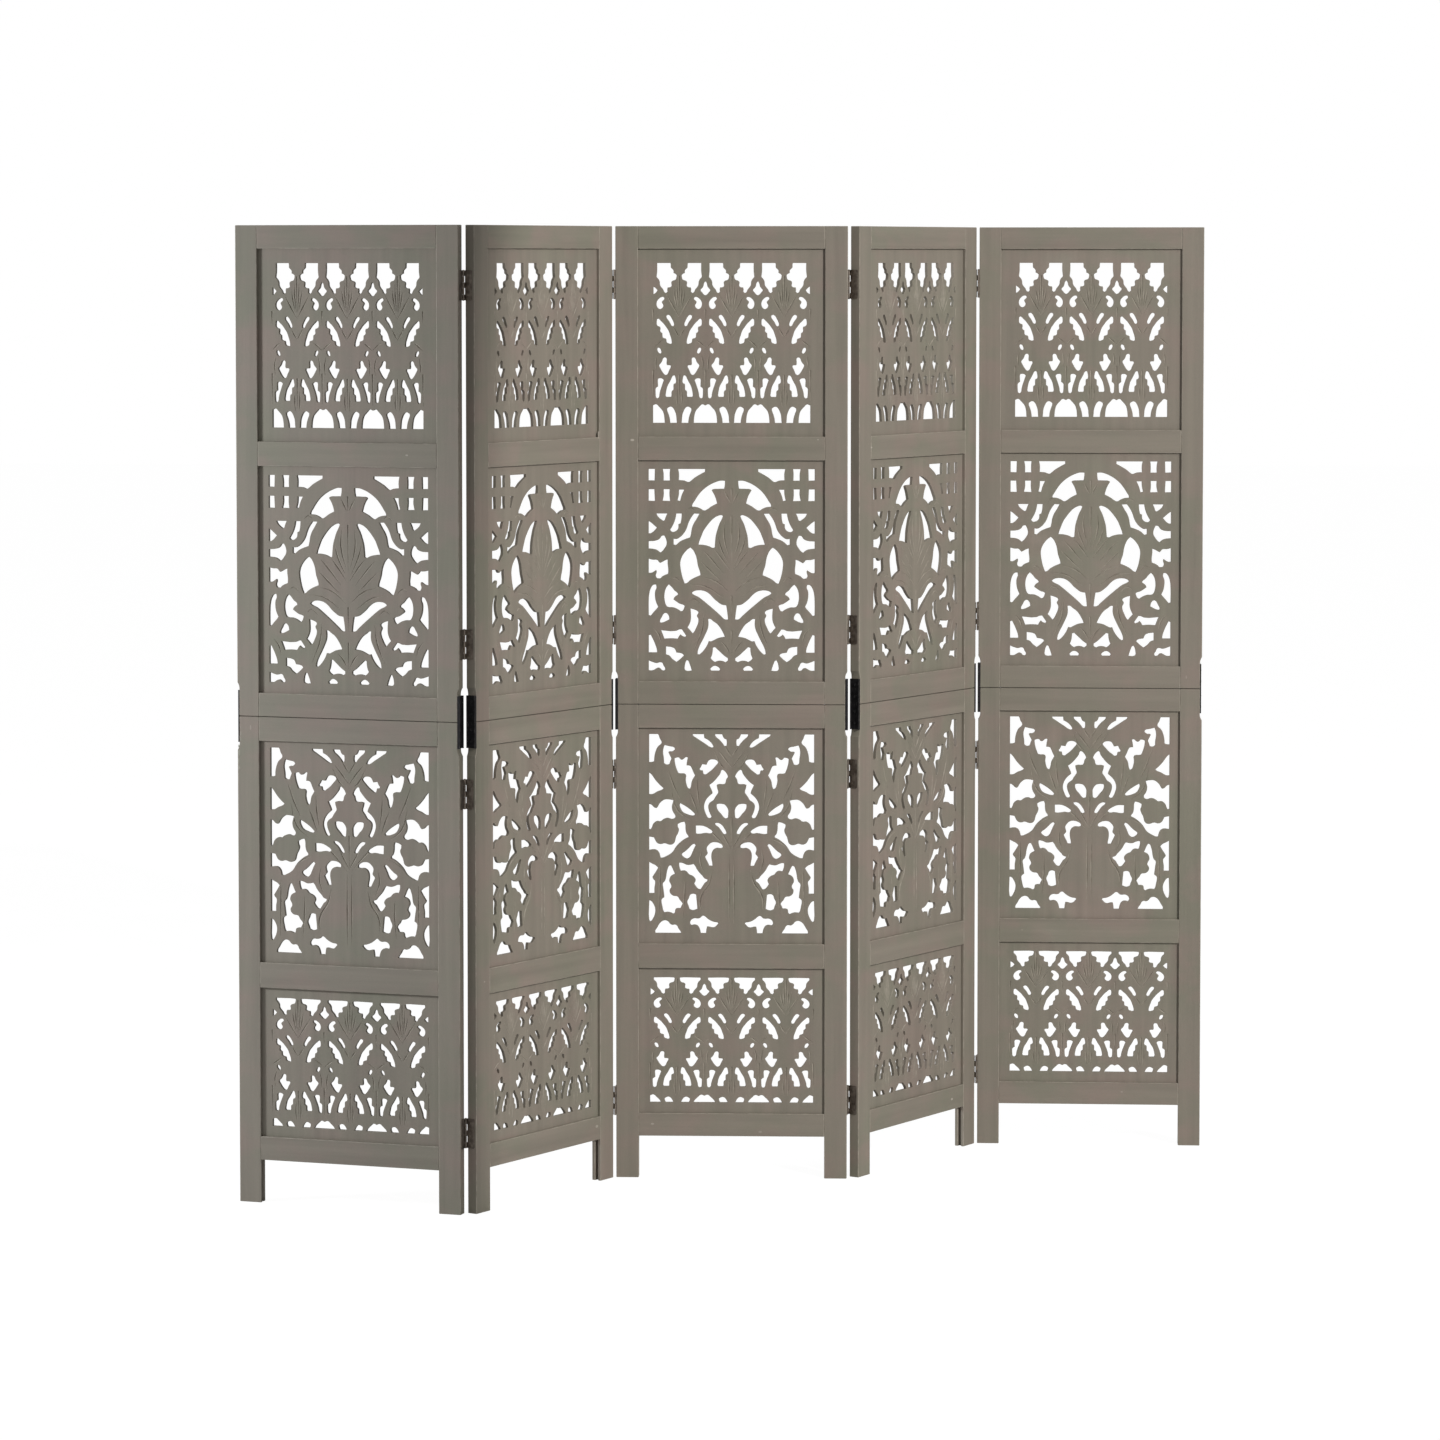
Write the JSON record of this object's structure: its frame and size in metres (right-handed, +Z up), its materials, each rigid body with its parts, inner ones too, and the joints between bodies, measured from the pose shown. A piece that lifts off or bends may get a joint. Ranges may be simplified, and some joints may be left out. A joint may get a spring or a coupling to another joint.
{
  "type": "folding screen",
  "caption": "Folding room screen of hinged painted wooden panels, each pierced with fan, lotus and vase openwork between grooved stiles and rails.",
  "frame": {"origin": "middle of the floor that the opened screen covers at rest, on the floor", "axes": "+Z up, +X along the screen to the right, +Y from the front faces to the back"},
  "size_m": [1.658, 0.7292, 1.65],
  "materials": {
    "frame_paint": "matt grey-taupe paint, rubbed along the edges, over wood",
    "fret_paint": "matt grey-taupe paint over a carved and pierced thin board",
    "channel_steel": "black lacquered sheet steel",
    "hinge_steel": "dull dark steel",
    "pin_steel": "plain drawn steel wire"
  },
  "bodies": {
    "panel_1": {"lower_stiles_1": "frame_paint", "lower_rails_1": "frame_paint", "upper_stiles_1": "frame_paint", "upper_rails_1": "frame_paint", "bottom_frieze_1": "fret_paint", "vase_fret_1": "fret_paint", "lotus_fret_1": "fret_paint", "top_frieze_1": "fret_paint", "joining_channels_1": "channel_steel", "left_leaves_1": "hinge_steel"},
    "panel_2": {"lower_stiles_2": "frame_paint", "lower_rails_2": "frame_paint", "upper_stiles_2": "frame_paint", "upper_rails_2": "frame_paint", "bottom_frieze_2": "fret_paint", "vase_fret_2": "fret_paint", "lotus_fret_2": "fret_paint", "top_frieze_2": "fret_paint", "joining_channels_2": "channel_steel", "right_leaves_1": "hinge_steel", "hinge_pins_1": "pin_steel", "left_leaves_2": "hinge_steel"},
    "panel_3": {"lower_stiles_3": "frame_paint", "lower_rails_3": "frame_paint", "upper_stiles_3": "frame_paint", "upper_rails_3": "frame_paint", "bottom_frieze_3": "fret_paint", "vase_fret_3": "fret_paint", "lotus_fret_3": "fret_paint", "top_frieze_3": "fret_paint", "joining_channels_3": "channel_steel", "right_leaves_2": "hinge_steel", "hinge_pins_2": "pin_steel", "left_leaves_3": "hinge_steel"},
    "panel_4": {"lower_stiles_4": "frame_paint", "lower_rails_4": "frame_paint", "upper_stiles_4": "frame_paint", "upper_rails_4": "frame_paint", "bottom_frieze_4": "fret_paint", "vase_fret_4": "fret_paint", "lotus_fret_4": "fret_paint", "top_frieze_4": "fret_paint", "joining_channels_4": "channel_steel", "right_leaves_3": "hinge_steel", "hinge_pins_3": "pin_steel", "left_leaves_4": "hinge_steel"},
    "panel_5": {"lower_stiles_5": "frame_paint", "lower_rails_5": "frame_paint", "upper_stiles_5": "frame_paint", "upper_rails_5": "frame_paint", "bottom_frieze_5": "fret_paint", "vase_fret_5": "fret_paint", "lotus_fret_5": "fret_paint", "top_frieze_5": "fret_paint", "joining_channels_5": "channel_steel", "right_leaves_4": "hinge_steel", "hinge_pins_4": "pin_steel"}
  },
  "joints": [
    {"name": "fold_2", "type": "hinge", "parent": "panel_3", "child": "panel_2", "pos_m": [-0.20529, -0.01325, 0.825], "axis": [0, 0, 1], "range_deg": [-58.5, 116.5]},
    {"name": "fold_1", "type": "hinge", "parent": "panel_2", "child": "panel_1", "pos_m": [-0.43608, -0.3447, 0.825], "axis": [0, 0, -1], "range_deg": [-74.5, 105.5]},
    {"name": "fold_3", "type": "hinge", "parent": "panel_3", "child": "panel_4", "pos_m": [0.19791, 0.01035, 0.825], "axis": [0, 0, 1], "range_deg": [-59, 116]},
    {"name": "fold_4", "type": "hinge", "parent": "panel_4", "child": "panel_5", "pos_m": [0.4258, 0.34381, 0.825], "axis": [0, 0, -1], "range_deg": [-60.5, 119.5]}
  ]
}
